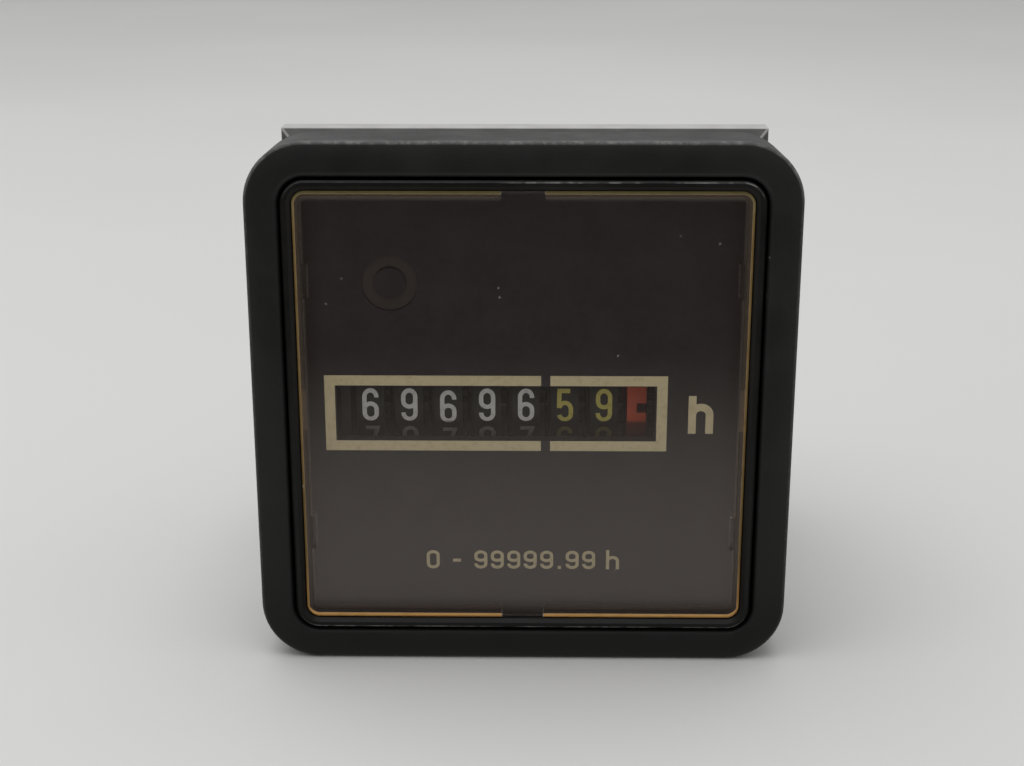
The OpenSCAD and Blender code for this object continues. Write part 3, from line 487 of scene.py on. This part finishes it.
class Finish(Nodes):
    """A material's node tree, whose patterns lie on the piece's own coordinates."""

    def __init__(self, name):
        self.material = bpy.data.materials.new(name)
        self.material.use_nodes = True
        super().__init__(self.material.node_tree)
        self.shader = self.tree.nodes["Principled BSDF"]
        self.output = self.tree.nodes["Material Output"]
        self.place = self.node("ShaderNodeTexCoord").outputs["Object"]

    def set(self, **values):
        """Sets or links the shader's own sockets, with underscores for spaces in their names."""
        for key, value in values.items():
            self.feed(self.shader.inputs[key.replace("_", " ")], value)

    def over(self, share, tone):
        """Lays a tone over the base colour that is already linked, by a share of 0 to 1."""
        base = self.shader.inputs["Base Color"].links[0].from_socket
        self.set(Base_Color=self.mix(share, base, tone))

    def math(self, operation, a, b=0.0):
        made = self.node("ShaderNodeMath", operation=operation)
        self.feed(made.inputs[0], a)
        self.feed(made.inputs[1], b)
        return made.outputs[0]

    def times(self, product, *others):
        """The product of several values, such as masks that have to overlap."""
        for other in others:
            product = self.math("MULTIPLY", product, other)
        return product

    def away(self, value, middle):
        """Distance of a value from a middle: |value - middle|."""
        return self.math("ABSOLUTE", self.math("SUBTRACT", value, middle))

    def length(self, a, b):
        """Length of the flat vector (a, b): the root of a * a + b * b."""
        return self.math("SQRT", self.math("ADD", self.times(a, a), self.times(b, b)))

    def axes(self):
        made = self.node("ShaderNodeSeparateXYZ")
        self.feed(made.inputs[0], self.place)
        return made.outputs

    def corner_distance(self, centre):
        """Distance outwards from a square of half width centre: the length of (|x| - centre, |z| - centre),
        each at least 0."""
        x, _, z = self.axes()
        past = [self.math("SUBTRACT", self.math("ABSOLUTE", v), centre) for v in (x, z)]
        return self.length(*[self.math("MAXIMUM", v, 0.0) for v in past])

    def noise(self, scale, detail=2.0, roughness=0.5, closer=None):
        """Soft noise of so many cells per metre, set closer along each axis where a factor is given."""
        made = self.node("ShaderNodeTexNoise")
        made.inputs["Scale"].default_value = scale
        made.inputs["Detail"].default_value = detail
        made.inputs["Roughness"].default_value = roughness
        vector = self.place
        if closer:
            mapping = self.node("ShaderNodeMapping")
            mapping.inputs["Scale"].default_value = closer
            self.feed(mapping.inputs["Vector"], self.place)
            vector = mapping.outputs[0]
        self.feed(made.inputs["Vector"], vector)
        return made.outputs["Fac"]

    def specks(self, scale, size, share):
        """Small round spots: near the middle of a cell of a Voronoi pattern, in a share of the cells."""
        made = self.node("ShaderNodeTexVoronoi")
        made.inputs["Scale"].default_value = scale
        self.feed(made.inputs["Vector"], self.place)
        cell = self.node("ShaderNodeSeparateColor")
        self.feed(cell.inputs[0], made.outputs["Color"])
        near = self.ramp(made.outputs["Distance"], (SPECK_CORE * size, size), FALLING)
        chosen = self.math("LESS_THAN", cell.outputs[0], share)
        faint = self.times(cell.outputs[1], cell.outputs[1])
        return self.times(near, chosen, faint)

    def mix(self, share, first, second):
        made = self.node("ShaderNodeMix", data_type="RGBA")
        self.feed(made.inputs["Factor"], share)
        self.feed(made.inputs[6], first)
        self.feed(made.inputs[7], second)
        return made.outputs[2]

    def bump(self, height, depth, strength):
        made = self.node("ShaderNodeBump")
        made.inputs["Strength"].default_value = strength
        made.inputs["Distance"].default_value = depth
        self.feed(made.inputs["Height"], height)
        return made.outputs["Normal"]


def spread(middle, span):
    """The two levels that lie a span below and above a middle."""
    return [middle + step for step in span]


def moulded_black(name, dark, light, rough, grain, shine):
    """Matt black plastic: a fine spark-eroded grain, cloudy wear and a little pale dust."""
    f = Finish(name)
    cloud = f.noise(**BLACK_CLOUD)
    fine = f.noise(grain, **BLACK_GRAIN)
    base = f.mix(f.ramp(cloud, MOTTLE), dark, light)
    base = f.mix(f.ramp(fine, *BLACK_PEAK_COVER), base, [BLACK_PEAK_GAIN * part for part in light])
    dust = f.times(f.specks(**BLACK_SPECKS), f.ramp(f.noise(DUST_GRAIN), *BLACK_DUST_COVER))
    f.set(Base_Color=f.mix(dust, base, BLACK_DUST))
    f.set(Roughness=f.ramp(cloud, BLACK_ROUGH_FADE, spread(rough, BLACK_ROUGH_SPAN)))
    f.set(Specular_IOR_Level=shine, Normal=f.bump(fine, **BLACK_BUMP))
    return f


def bezel_black():
    """The outer frame's plastic, pale in specks along the rounded edge of its face: partly rubbed wear and
    partly a painted highlight, stronger towards the top.
    """
    f = moulded_black("bezel_black", **BEZEL_PLASTIC)
    _, y, z = f.axes()
    at_edge = f.ramp(f.corner_distance(CORNER_CENTRE), BEZEL_EDGE_FADE)
    at_face = f.ramp(y, BEZEL_FACE_FADE, FALLING)
    rubbed = f.ramp(f.noise(**BEZEL_RUB), *BEZEL_RUB_COVER)
    # Painted highlight, partly wear: the pale tone is laid on more strongly towards the top of the edge
    f.over(f.times(at_edge, at_face, rubbed, f.ramp(z, *BEZEL_HIGHLIGHT_HEIGHT_COVER)), BEZEL_WEAR_AND_HIGHLIGHT)
    return f.material


def housing_black():
    """The body's plastic, pale in dashes where the bevel of its front flange meets the face, above and below
    the
    window: partly rubbed wear and partly a painted highlight. On the bevel, the distances outwards and
    forwards add up to the same length."""
    f = moulded_black("housing_black", **HOUSING_PLASTIC)
    _, y, z = f.axes()
    reach = f.math("SUBTRACT", f.corner_distance(CORNER_CENTRE), y)
    on_bevel = f.ramp(reach, FLANGE_BEVEL_FADE)
    at_face = f.ramp(y, FLANGE_FACE_FADE, FALLING)
    at_ends = f.ramp(f.math("ABSOLUTE", z), FLANGE_HEIGHT_FADE)
    stretches = f.ramp(f.noise(FLANGE_STRETCHES), *FLANGE_STRETCH_COVER)
    dashes = f.ramp(f.noise(**FLANGE_DASHES), *FLANGE_DASH_COVER)
    # Painted highlight, partly wear: pale dashes on the flange's front edge above and below the window
    f.over(f.times(on_bevel, at_face, at_ends, stretches, dashes), FLANGE_WEAR_AND_HIGHLIGHT)
    return f.material


def lug_glints(f, x, y, z):
    """A faint painted glint on the end faces of the window's four lugs, behind the pane."""
    beside = f.ramp(f.away(f.math("ABSOLUTE", x), LUG_EDGE_X), LUG_SIDE_FADE, FALLING)
    along = f.ramp(f.away(f.math("ABSOLUTE", z), LUG_MIDDLE_Z), LUG_END_FADE, FALLING)
    behind = f.ramp(y, LUG_BACK_FADE)
    return f.times(beside, along, behind, f.ramp(f.noise(LUG_GLINT_GRAIN), *LUG_GLINT_COVER))


def window_amber():
    """Clear moulded plastic aged to amber: glass that lamps pass through, with a rim of painted glow that is
    brightest at the foot and has painted shade deeper in, a hazy margin over the skirt that thins towards the
    foot as painted shade, a little dust, and painted glints on the lugs' end faces."""
    f = Finish("window_amber")
    x, y, z = f.axes()
    out = f.corner_distance(CORNER_CENTRE)
    skirt = f.ramp(f.math("ABSOLUTE", x), NOTCH_FADE)
    low = f.ramp(z, RIM_LOW_FADE, FALLING)
    high = f.ramp(z, RIM_HIGH_FADE)
    # The band of painted glow is wider at the foot
    widened = f.math("ADD", out, f.ramp(z, *RIM_FOOT_COVER))
    edge = f.times(f.ramp(widened, RIM_EDGE_FADE), skirt)
    margin = f.times(f.ramp(out, *MARGIN_COVER), skirt)
    # Painted glow and painted shade: the rim's amber is brighter at the foot and top, and darker deeper in the
    # wall
    painted_glow = f.mix(low, f.mix(high, RIM_SIDE_PAINTED_GLOW, RIM_TOP_PAINTED_GLOW), RIM_FOOT_PAINTED_GLOW)
    painted_glow_and_shade = f.mix(f.ramp(y, RIM_DEPTH_FADE), painted_glow, RIM_DEEP_PAINTED_SHADE)
    tint_and_painted_glow = f.mix(edge, f.mix(margin, WINDOW_CLEAR, MARGIN_TONE), painted_glow_and_shade)
    rim = f.times(edge, f.ramp(f.noise(**RIM_CLOUD), *RIM_CLOUD_COVER))
    # Partly painted shade: the haze thins towards the foot, standing in for the dimmer reflection there
    haze = f.times(margin, f.ramp(low, *MARGIN_HAZE_FOOT_SHADE_COVER))
    dust = f.times(f.specks(**WINDOW_SPECKS), f.ramp(f.noise(DUST_GRAIN), *WINDOW_DUST_COVER))
    # From here dust also carries the painted glints on the lugs' end faces
    dust = f.math("MAXIMUM", dust, lug_glints(f, x, y, z))
    solid = f.math("MAXIMUM", f.math("MAXIMUM", rim, haze), dust)
    f.set(Base_Color=f.mix(f.ramp(dust, WINDOW_DUST_AND_GLINT_FADE), tint_and_painted_glow, WINDOW_DUST_AND_GLINT))
    f.set(Roughness=f.ramp(f.noise(**WINDOW_POLISH), EVEN, WINDOW_ROUGH))
    f.set(Transmission_Weight=f.math("SUBTRACT", 1.0, solid), IOR=WINDOW_IOR, Specular_Tint=WINDOW_GLOSS)
    clear = f.node("ShaderNodeBsdfTransparent")
    f.feed(clear.inputs["Color"], tint_and_painted_glow)
    f.show(f.output, f.shader, clear, "Is Shadow Ray")
    return f.material


def dial_brown():
    """Matt brown-black card finish with a faint mottle, paler in the ring groove."""
    f = Finish("dial_brown")
    fine = f.noise(**DIAL_GRAIN)
    base = f.mix(f.ramp(f.noise(**DIAL_CLOUD), MOTTLE), *DIAL_TONES)
    x, _, z = f.axes()
    radius = f.length(*[f.math("SUBTRACT", v, place) for v, place in zip((x, z), RING_PLACE)])
    ring = f.times(f.ramp(radius, RING_INNER_FADE), f.ramp(radius, RING_OUTER_FADE, FALLING), RING_SHARE)
    f.set(Base_Color=f.mix(ring, base, RING_TONE))
    f.set(Roughness=f.ramp(fine, EVEN, DIAL_ROUGH), Specular_IOR_Level=DIAL_SHINE)
    f.set(Normal=f.bump(fine, **DIAL_BUMP))
    return f.material


def paint(name, main, worn):
    """Screen-printed paint: slightly uneven in cover, with small thin places."""
    f = Finish(name)
    f.set(Base_Color=f.mix(f.ramp(f.noise(**PAINT_PLACES), PAINT_THIN), main, worn))
    f.set(Roughness=f.ramp(f.noise(PAINT_CLOUD), EVEN, PAINT_ROUGH), Specular_IOR_Level=PAINT_SHINE)
    f.set(Normal=f.bump(f.noise(PAINT_GRAIN), **PAINT_BUMP))
    return f.material


def satin_plastic(name, main, blotch, rough, grain=PLASTIC_GRAIN):
    """Moulded plastic in one shade with soft blotches and a fine grain."""
    f = Finish(name)
    cloud = f.noise(**PLASTIC_CLOUD)
    base = f.mix(f.ramp(cloud, MOTTLE), main, blotch)
    f.set(Base_Color=f.mix(f.times(f.specks(**PLASTIC_SPECKS), PLASTIC_SPECK_SHARE), base, PLASTIC_SPECK))
    f.set(Roughness=f.ramp(cloud, EVEN, spread(rough, PLASTIC_ROUGH_SPAN)))
    f.set(Normal=f.bump(f.noise(grain, PLASTIC_GRAIN_DETAIL), **PLASTIC_BUMP))
    return f


def indicator_red():
    """A red rim on a dark wheel: the toothed ring beside the rim stays dark."""
    f = satin_plastic("indicator_red", **INDICATOR_PLASTIC)
    x, _, _ = f.axes()
    f.over(f.ramp(x, INDICATOR_FADE), INDICATOR_DARK)
    return f.material


def clamp_grey():
    """Pale plastic whose slope towards the panel carries painted shade, thinner along its mitred corners."""
    f = satin_plastic("clamp_grey", **CLAMP_PLASTIC)
    x, y, z = f.axes()
    slope = f.ramp(y, CLAMP_RIM_FADE, FALLING)
    off_mitre = f.away(f.math("ABSOLUTE", x), f.math("ABSOLUTE", z))
    # Painted shade on the slope that lies in the shadow between the outer frame and the panel
    f.over(f.times(slope, f.ramp(off_mitre, *CLAMP_MITRE_COVER)), CLAMP_SLOPE_PAINTED_SHADE)
    return f.material


def drawn_metal(name, main, dulled, rough, closer):
    """Bare metal with drawing lines along one axis and dulled patches."""
    f = Finish(name)
    lines = f.noise(**METAL_LINES, closer=closer)
    f.set(Base_Color=f.mix(f.ramp(f.noise(**METAL_PATCHES), MOTTLE), main, dulled), Metallic=1.0)
    f.set(Roughness=f.ramp(lines, EVEN, spread(rough, METAL_ROUGH_SPAN)))
    f.set(Normal=f.bump(lines, **METAL_BUMP))
    return f.material


def wound_copper():
    """Enamelled wire: fine turns along the axis, each a round ridge, with a reddish varnish."""
    f = Finish("winding_copper")
    wave = f.node("ShaderNodeTexWave", wave_type="BANDS", bands_direction="X", wave_profile="SIN")
    wave.inputs["Scale"].default_value = COPPER_TURNS
    f.feed(wave.inputs["Vector"], f.place)
    turns = wave.outputs["Fac"]
    f.set(Base_Color=f.mix(f.ramp(turns, COPPER_FADE), *COPPER_TONES))
    f.set(Metallic=COPPER_METAL, Roughness=COPPER_ROUGH, Normal=f.bump(turns, **COPPER_BUMP))
    return f.material


def dress_nodes():
    """Gives every solid the first finish whose key starts its name, and steel to the shafts and screws."""
    metals = {name: drawn_metal(name, **look) for name, look in METALS.items()}
    plastics = {name: satin_plastic(name, **look).material for name, look in PLASTICS.items()}
    black = housing_black()
    finishes = {
        "front_bezel": bezel_black(),
        "housing": black,
        "rear_cover": black,
        "window": window_amber(),
        "dial_plate": dial_brown(),
        "counter_frame": plastics["frame_grey"],
        "number_wheel": plastics["wheel_black"],
        "run_indicator_wheel": indicator_red(),
        "transfer_pinion": plastics["pinion_ivory"],
        "gear_bridge": metals["bridge_brass"],
        "gear": plastics["gear_ivory"],
        "stator": metals["stator_steel"],
        "coil_bobbin": plastics["gear_ivory"],
        "coil_winding": wound_copper(),
        "rotor_magnet": plastics["magnet_grey"],
        "terminal": metals["terminal_brass"],
        "clamp_frame": clamp_grey(),
    }
    for name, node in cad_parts.items():
        fitting = [finish for start, finish in finishes.items() if name.startswith(start)]
        node.data.materials.clear()
        node.data.materials.append(fitting[0] if fitting else metals["steel"])


# Painted pieces


def wheel_digits(k, finish):
    """The ten digits of wheel k: a flat stroke at (u, v, h) goes to x + u and to the angle v / radius up from
    the wheel's front, at radius + h; the digit after the one that shows lies one step below it."""
    low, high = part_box(f"number_wheel_{k}")
    centre = (low + high) / 2
    radius = (high.z - low.z) / 2
    shown = READING[len(READING) - k]
    drop = LOW_WHEEL_DROP if k == LOW_WHEEL else 0.0
    solids = []
    for digit in range(DIGITS):
        flat, quads = glyph_solid(str(digit), DIGIT_HALF, DIGIT_HEIGHT, DIGIT_STROKE)
        angle = (flat[:, 1] - DIGIT_HEIGHT / 2 - drop) / radius + (shown - digit) * DIGIT_STEP
        reach = radius + flat[:, 2]
        round_drum = np.stack([
            centre.x + flat[:, 0], centre.y - reach * np.cos(angle), centre.z + reach * np.sin(angle),
        ], axis=1)
        solids.append((round_drum, quads))
    piece(f"digits_{k}", *joined(solids), finish, f"digit_{k}")


def on_dial(flat, x, z):
    """Lays a flat stroke at (u, v, h) on the dial: u to the right of x, v above z and h out from its face."""
    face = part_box("dial_plate")[0].y
    return np.stack([x + flat[:, 0], face - flat[:, 2], z + flat[:, 1]], axis=1)


def dial_border(finish):
    """The border round the aperture, as two brackets that leave a gap above and below the decimal place."""
    half = BORDER_WIDTH / 2
    top, bottom = BORDER_TOP - half, BORDER_BOTTOM + half
    solids = []
    for side, way in ((BORDER_LEFT + half, -1), (BORDER_RIGHT - half, 1)):
        inner = BORDER_GAP_X + way * BORDER_GAP / 2
        line = points((inner, top), (side, top), (side, bottom), (inner, bottom))
        flat, quads = stroke_solid(line[::way], BORDER_WIDTH, -PAINT_SINK, PAINT_RISE, False)
        solids.append((on_dial(flat, 0.0, 0.0), quads))
    piece("dial_border", *joined(solids), finish, "meter")


def unit_letter(finish):
    """The letter of the unit: a straight stem and an arched leg."""
    half = UNIT_SPAN / 2
    stem = points((0, 0), (0, UNIT_HEIGHT))
    arch = arc((half, UNIT_SHOULDER), (half, UNIT_ARCH), 180, 0)
    leg = np.concatenate([arch, points((2 * half, 0))])
    solids = []
    for i, line in enumerate((stem, leg)):
        flat, quads = stroke_solid(line, UNIT_STROKE, -PAINT_SINK, PAINT_RISE + i * STROKE_STEP, False)
        solids.append((on_dial(flat, UNIT_X, UNIT_Z), quads))
    piece("unit_letter", *joined(solids), finish, "meter")


def range_line(finish):
    """The counter's range in small plain figures along the foot of the dial."""
    steps = np.array([RANGE_NARROW.get(name, 1.0) for name in RANGE_TEXT]) * RANGE_HEIGHT
    places = np.cumsum(steps) - steps / 2 - np.sum(steps) / 2
    solids = []
    for name, x in zip(RANGE_TEXT, places):
        if name != " ":
            flat, quads = glyph_solid(name, RANGE_HALF, RANGE_HEIGHT, RANGE_STROKE)
            solids.append((on_dial(flat, x, RANGE_Z), quads))
    piece("range_line", *joined(solids), finish, "meter")


# Studio


def floor():
    """A pale floor under the meter, as a plane of one quad with a soft paper finish. In gloss it shows as a
    painted reflection: an even emitted tone, with painted shade far in front of the meter and a painted shadow
    close to its foot."""
    half, z = FLOOR_HALF, cad_box[0].z
    corners = np.array([(-half, -half, z), (half, -half, z), (half, half, z), (-half, half, z)])
    mesh = bpy.data.meshes.new("floor")
    mesh.from_pydata(corners.tolist(), [], [[0, 1, 2, 3]])
    obj = bpy.data.objects.new("floor", mesh)
    bpy.context.scene.collection.objects.link(obj)
    f = Finish("floor_paper")
    f.set(Base_Color=f.mix(f.ramp(f.noise(**FLOOR_CLOUD), EVEN), *FLOOR_TONES))
    f.set(Roughness=FLOOR_ROUGH, Specular_IOR_Level=FLOOR_SHINE)
    _, y, _ = f.axes()
    far_shade = f.ramp(y, MIRROR_FAR_SHADE_FADE, FALLING)
    foot_shadow = f.times(f.ramp(y, *MIRROR_FOOT_SHADOW_COVER), f.ramp(y, MIRROR_BACK_FADE, FALLING))
    # Painted reflection: an emitted tone for glossy rays, with painted shade far in front and a painted shadow
    # at the foot
    painted_reflection = f.node("ShaderNodeEmission")
    f.feed(painted_reflection.inputs["Color"], f.mix(f.math("MAXIMUM", far_shade, foot_shadow), MIRROR_PALE, MIRROR_DIM))
    f.show(f.output, f.shader, painted_reflection, "Is Glossy Ray")
    f.material.cycles.emission_sampling = "NONE"
    mesh.materials.append(f.material)


def sky():
    """Pale surroundings: even to the camera, and otherwise bright behind the meter and dim in front of it."""
    world = bpy.data.worlds.new("surroundings")
    bpy.context.scene.world = world
    world.use_nodes = True
    n = Nodes(world.node_tree)
    n.tree.nodes.clear()
    way = n.node("ShaderNodeVectorMath", operation="DOT_PRODUCT")
    n.feed(way.inputs[0], n.node("ShaderNodeTexCoord").outputs["Generated"])
    n.feed(way.inputs[1], SKY_WAY)
    lit = n.node("ShaderNodeBackground")
    n.feed(lit.inputs["Color"], SKY_LIT)
    n.feed(lit.inputs["Strength"], n.ramp(way.outputs["Value"], *SKY_TURN_COVER))
    seen = n.node("ShaderNodeBackground")
    n.feed(seen.inputs["Color"], SKY_SEEN)
    n.show(n.node("ShaderNodeOutputWorld"), lit, seen, "Is Camera Ray")


def lamp(name, place, aim, size, power, matt=False):
    """A soft light of size (width, height) at place that looks at aim; a matt one isn't mirrored in gloss."""
    data = bpy.data.lights.new(name, "AREA")
    data.shape = "RECTANGLE"
    data.size, data.size_y = size
    data.energy = power
    obj = bpy.data.objects.new(name, data)
    bpy.context.scene.collection.objects.link(obj)
    obj.location = place
    toward = Vector(aim) - Vector(place)
    obj.rotation_euler = toward.to_track_quat("-Z", "Y").to_euler()
    obj.visible_glossy = not matt
    obj.visible_transmission = not matt


def camera():
    """The photograph's viewpoint."""
    data = bpy.data.cameras.new("camera")
    data.lens = CAMERA_LENS
    data.sensor_width = SENSOR_WIDTH
    data.clip_start = CAMERA_CLIP
    obj = bpy.data.objects.new("camera", data)
    bpy.context.scene.collection.objects.link(obj)
    obj.location = CAMERA_PLACE
    obj.rotation_euler = [math.radians(a) for a in CAMERA_TURN]
    bpy.context.scene.camera = obj


dress_nodes()
paints = {name: paint(name, **look) for name, look in PAINTS.items()}
for k in range(1, len(READING) + 1):
    wheel_digits(k, paints["digit_yellow" if k <= YELLOW_WHEELS else "digit_white"])
dial_border(paints["print_beige"])
unit_letter(paints["print_beige"])
range_line(paints["print_beige"])
floor()
sky()
lamp("top_light", **TOP_LIGHT)
lamp("low_card", **LOW_CARD)
camera()
bpy.context.scene.view_settings.view_transform = "Standard"
